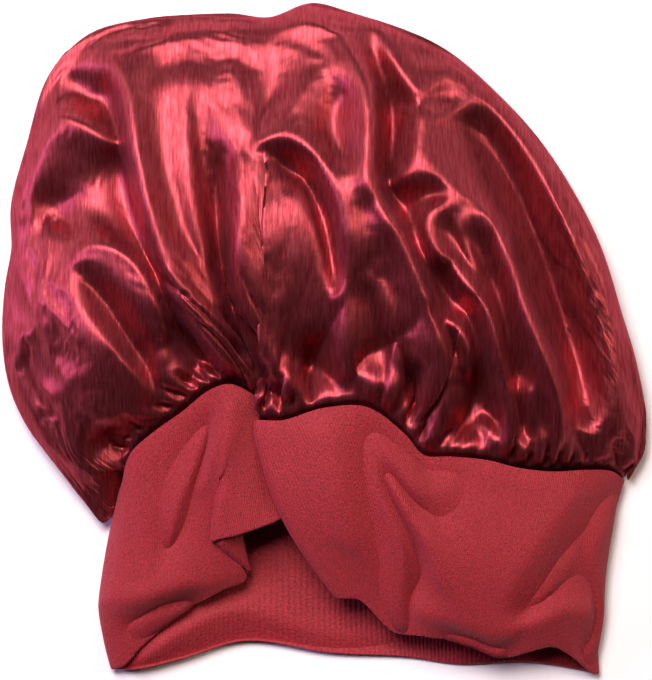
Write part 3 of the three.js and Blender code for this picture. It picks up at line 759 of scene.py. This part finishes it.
# %% Give the crown its wall
SATIN_THICKNESS = 0.5 * MM  # drawn thicker than real charmeuse, so that the wall keeps its two sides apart

wall = crown.modifiers.new("wall", "SOLIDIFY")
wall.thickness = SATIN_THICKNESS
wall.offset = -1

# %% [markdown]
# ## Colours and nodes
# Colours are read as sRGB hex, as on a dye card, and turned to the linear values that light adds up in.

# %% Colour and node helpers
def linear(code):
    """sRGB hex to linear RGBA: ((c + 0.055) / 1.055) ** 2.4 above 0.04045."""
    parts = [int(code[i:i + 2], 16) / 255 for i in (1, 3, 5)]
    return [c / 12.92 if c <= 0.04045 else ((c + 0.055) / 1.055) ** 2.4 for c in parts] + [1]


def add_node(tree, kind, settings=None, links=None):
    """A node with its settings: names set properties, or input sockets, and links feed inputs."""
    node = tree.nodes.new(kind)
    for name, value in (settings or {}).items():
        if name in node.inputs.keys():
            node.inputs[name].default_value = value
        else:
            setattr(node, name, value)
    for name, socket in (links or {}).items():
        tree.links.new(socket, node.inputs[name])
    return node


def new_material(name):
    """A material with an empty node tree and its output."""
    material = bpy.data.materials.new(name)
    material.use_nodes = True
    material.node_tree.nodes.clear()
    return material, material.node_tree, add_node(material.node_tree, "ShaderNodeOutputMaterial")


# %% [markdown]
# ## Satin
# Polyester charmeuse: long floats of bright filament on the face, so it shines in the colour of the
# dye, and a highlight is drawn out across the floats. So the shader gets a tangent, the first direction of
# the UV map, which lies across them. The threads themselves are a noise stretched along the cloth: its
# patches are 1 mm by 9 mm, far coarser than real filaments, so that they show.

# %% Polyester charmeuse satin
FLOAT_PATCHES = (1000, 110, 110)  # per metre: across the floats, and along them
CRINKLES = 90  # per metre

satin, tree, output = new_material("polyester_charmeuse_satin")
place = add_node(tree, "ShaderNodeTexCoord")
floats = add_node(tree, "ShaderNodeMapping", {"Scale": FLOAT_PATCHES}, {"Vector": place.outputs["Object"]})
float_noise = add_node(tree, "ShaderNodeTexNoise", {"Scale": 1, "Detail": 2},
                       {"Vector": floats.outputs["Vector"]})
dye = add_node(tree, "ShaderNodeValToRGB", {}, {"Fac": float_noise.outputs["Fac"]})
dye.color_ramp.elements[0].position, dye.color_ramp.elements[1].position = 0.3, 0.7
dye.color_ramp.elements[0].color, dye.color_ramp.elements[1].color = linear("#862C33"), linear("#A2474D")
crinkle = add_node(tree, "ShaderNodeTexNoise", {"Scale": CRINKLES, "Detail": 3, "Distortion": 0.6},
                   {"Vector": place.outputs["Object"]})
float_bump = add_node(tree, "ShaderNodeBump", {"Strength": 0.5, "Distance": 0.0003},
                      {"Height": float_noise.outputs["Fac"]})
bump = add_node(tree, "ShaderNodeBump", {"Strength": 0.06, "Distance": 0.002},
                {"Height": crinkle.outputs["Fac"], "Normal": float_bump.outputs["Normal"]})
threads = add_node(tree, "ShaderNodeTangent", {"direction_type": "UV_MAP", "uv_map": UV_NAME})
shine = add_node(tree, "ShaderNodeBsdfPrincipled", {
    "Metallic": 0.85,
    "Roughness": 0.44,
    "Specular IOR Level": 0.4,
    "Specular Tint": linear("#F0A8B6"),
    "Sheen Weight": 0.03,
    "Sheen Roughness": 0.4,
    "Sheen Tint": linear("#C08AB0"),
    "Anisotropic": 0.6,
}, {
    "Normal": bump.outputs["Normal"],
    "Base Color": dye.outputs["Color"],
    "Tangent": threads.outputs["Tangent"],
})
tree.links.new(shine.outputs["BSDF"], output.inputs["Surface"])
crown.data.materials.append(satin)

# %% [markdown]
# ## Jersey
# Polyester jersey knit: fine wales of loops run from seam to hem, matt and a little lighter than the
# satin because its loops scatter the light. The wales lie 1.2 mm apart and the loops about 1 mm, coarser
# than a real fine jersey, so that they show. A finer noise on the object stands for the fuzz.

# %% Polyester jersey knit
WALES, LOOPS, FUZZ = 260, 950, 1500  # a wave's bands lie 0.31 / 260 m apart; the others are per metre
KNIT_DEPTH = 0.0004

jersey, tree, output = new_material("polyester_jersey_knit")
place = add_node(tree, "ShaderNodeTexCoord")
wales = add_node(tree, "ShaderNodeTexWave",
                 {"Scale": WALES, "Distortion": 0.5, "Detail": 2, "Detail Scale": 1.5},
                 {"Vector": place.outputs["UV"]})
loops = add_node(tree, "ShaderNodeTexVoronoi", {"Scale": LOOPS}, {"Vector": place.outputs["UV"]})
fuzz = add_node(tree, "ShaderNodeTexNoise", {"Scale": FUZZ, "Detail": 2}, {"Vector": place.outputs["Object"]})
dye = add_node(tree, "ShaderNodeValToRGB", {}, {"Fac": fuzz.outputs["Fac"]})
dye.color_ramp.elements[0].position, dye.color_ramp.elements[1].position = 0.35, 0.65
dye.color_ramp.elements[0].color, dye.color_ramp.elements[1].color = linear("#7A0E18"), linear("#AC222E")
wale_bump = add_node(tree, "ShaderNodeBump", {"Strength": 0.5, "Distance": KNIT_DEPTH},
                     {"Height": wales.outputs["Fac"]})
loop_bump = add_node(tree, "ShaderNodeBump", {"Strength": 0.5, "Distance": KNIT_DEPTH},
                     {"Height": loops.outputs["Distance"], "Normal": wale_bump.outputs["Normal"]})
bump = add_node(tree, "ShaderNodeBump", {"Strength": 0.5, "Distance": KNIT_DEPTH},
                {"Height": fuzz.outputs["Fac"], "Normal": loop_bump.outputs["Normal"]})
knit = add_node(tree, "ShaderNodeBsdfPrincipled", {
    "Roughness": 0.75,
    "Sheen Weight": 0.2,
    "Sheen Roughness": 0.5,
    "Sheen Tint": linear("#E88090"),
}, {"Normal": bump.outputs["Normal"], "Base Color": dye.outputs["Color"]})
tree.links.new(knit.outputs["BSDF"], output.inputs["Surface"])
band.data.materials.append(jersey)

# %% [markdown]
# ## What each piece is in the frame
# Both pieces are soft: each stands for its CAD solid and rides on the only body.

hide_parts("crown")
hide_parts("band")
for thing, slot in ((crown, "satin"), (band, "jersey_knit")):
    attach(thing, "root")

# %% [markdown]
# ## Floor, light and camera
# The bonnet lies on a white table under a broad soft light from the upper left. A small warm lamp from the
# right and a low lilac one from the left, like a window, tint the shine of the satin. The camera looks
# straight down with a long lens, so that the picture is nearly free of perspective.

# %% The studio
FLOOR_SIZE = 6.0
floor_mesh = bpy.data.meshes.new("floor")
corners = np.array([(-1, -1, 0), (1, -1, 0), (1, 1, 0), (-1, 1, 0)]) * FLOOR_SIZE / 2
floor_mesh.from_pydata(corners.tolist(), [], [(0, 1, 2, 3)])
floor_thing = bpy.data.objects.new("floor", floor_mesh)
bpy.context.scene.collection.objects.link(floor_thing)
floor_material, tree, output = new_material("white_table")
white = add_node(tree, "ShaderNodeBsdfPrincipled", {"Base Color": linear("#FFFFFF"), "Roughness": 0.9})
tree.links.new(white.outputs["BSDF"], output.inputs["Surface"])
floor_mesh.materials.append(floor_material)

world = bpy.data.worlds.new("studio")
world.use_nodes = True
world.node_tree.nodes["Background"].inputs["Color"].default_value = linear("#FFFFFF")
world.node_tree.nodes["Background"].inputs["Strength"].default_value = 0.015
bpy.context.scene.world = world


def add_light(name, place, size, power, color):
    """A square area light at a place in metres that looks at the origin."""
    data = bpy.data.lights.new(name, "AREA")
    data.shape = "SQUARE"
    data.size = size
    data.energy = power
    data.color = linear(color)[:3]
    lamp = bpy.data.objects.new(name, data)
    lamp.location = place
    lamp.rotation_euler = (-lamp.location).to_track_quat("-Z", "Y").to_euler()
    bpy.context.scene.collection.objects.link(lamp)


add_light("key", (-0.4, 0.8, 1.3), 0.9, 37, "#FFF2F4")
add_light("warm", (1.0, 0.4, 1.0), 0.4, 6, "#FFE4D2")
add_light("window", (-1.4, 0.2, 0.6), 0.4, 8, "#D6B4FF")

# %% The camera
CAMERA_HEIGHT = 1.6
VIEW_LENGTH = 340 * MM  # what the picture's height covers at the bonnet's middle height
MIDDLE_HEIGHT = 20 * MM
camera_data = bpy.data.cameras.new("camera")
camera_data.sensor_width = 36
camera_data.lens = 36 * (CAMERA_HEIGHT - MIDDLE_HEIGHT) / VIEW_LENGTH
camera = bpy.data.objects.new("camera", camera_data)
camera.location = (-0.0004, -0.0001, CAMERA_HEIGHT)
bpy.context.scene.collection.objects.link(camera)
bpy.context.scene.camera = camera
bpy.context.scene.view_settings.view_transform = "Standard"
